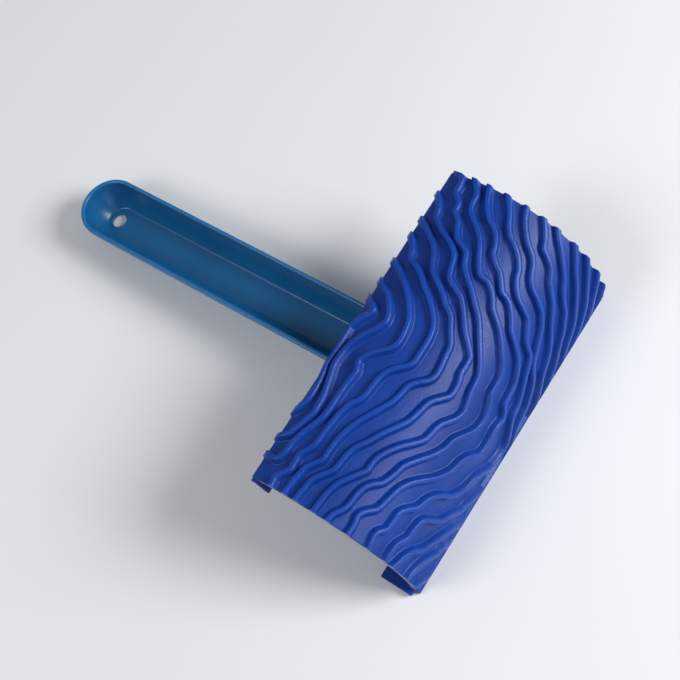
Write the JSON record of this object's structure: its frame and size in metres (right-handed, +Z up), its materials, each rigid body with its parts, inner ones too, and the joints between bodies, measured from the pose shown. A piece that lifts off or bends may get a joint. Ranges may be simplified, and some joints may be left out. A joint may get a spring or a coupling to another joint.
{
  "type": "wood graining rocker",
  "caption": "Hand rocker with a curved rubber pad of raised heart-grain ridges on a plastic holder, and an open channel handle with a hanging hole.",
  "frame": {"origin": "centre of the bounding box's bottom face, on the surface that the tool lies on, pattern up", "axes": "+X along the pad's width, parallel to its axis; +Y from the pad towards the handle's tip; +Z up, out of the pattern side"},
  "size_m": [0.1556, 0.2298, 0.0604],
  "materials": {
    "blue_rubber": "soft satin moulded rubber",
    "teal_plastic": "moulded polypropylene with a soft gloss",
    "plated_steel": "zinc plated"
  },
  "bodies": {
    "root": {"pattern_pad": "blue_rubber", "pad_holder": "teal_plastic", "handle": "teal_plastic", "handle_screws": "plated_steel"}
  },
  "joints": []
}
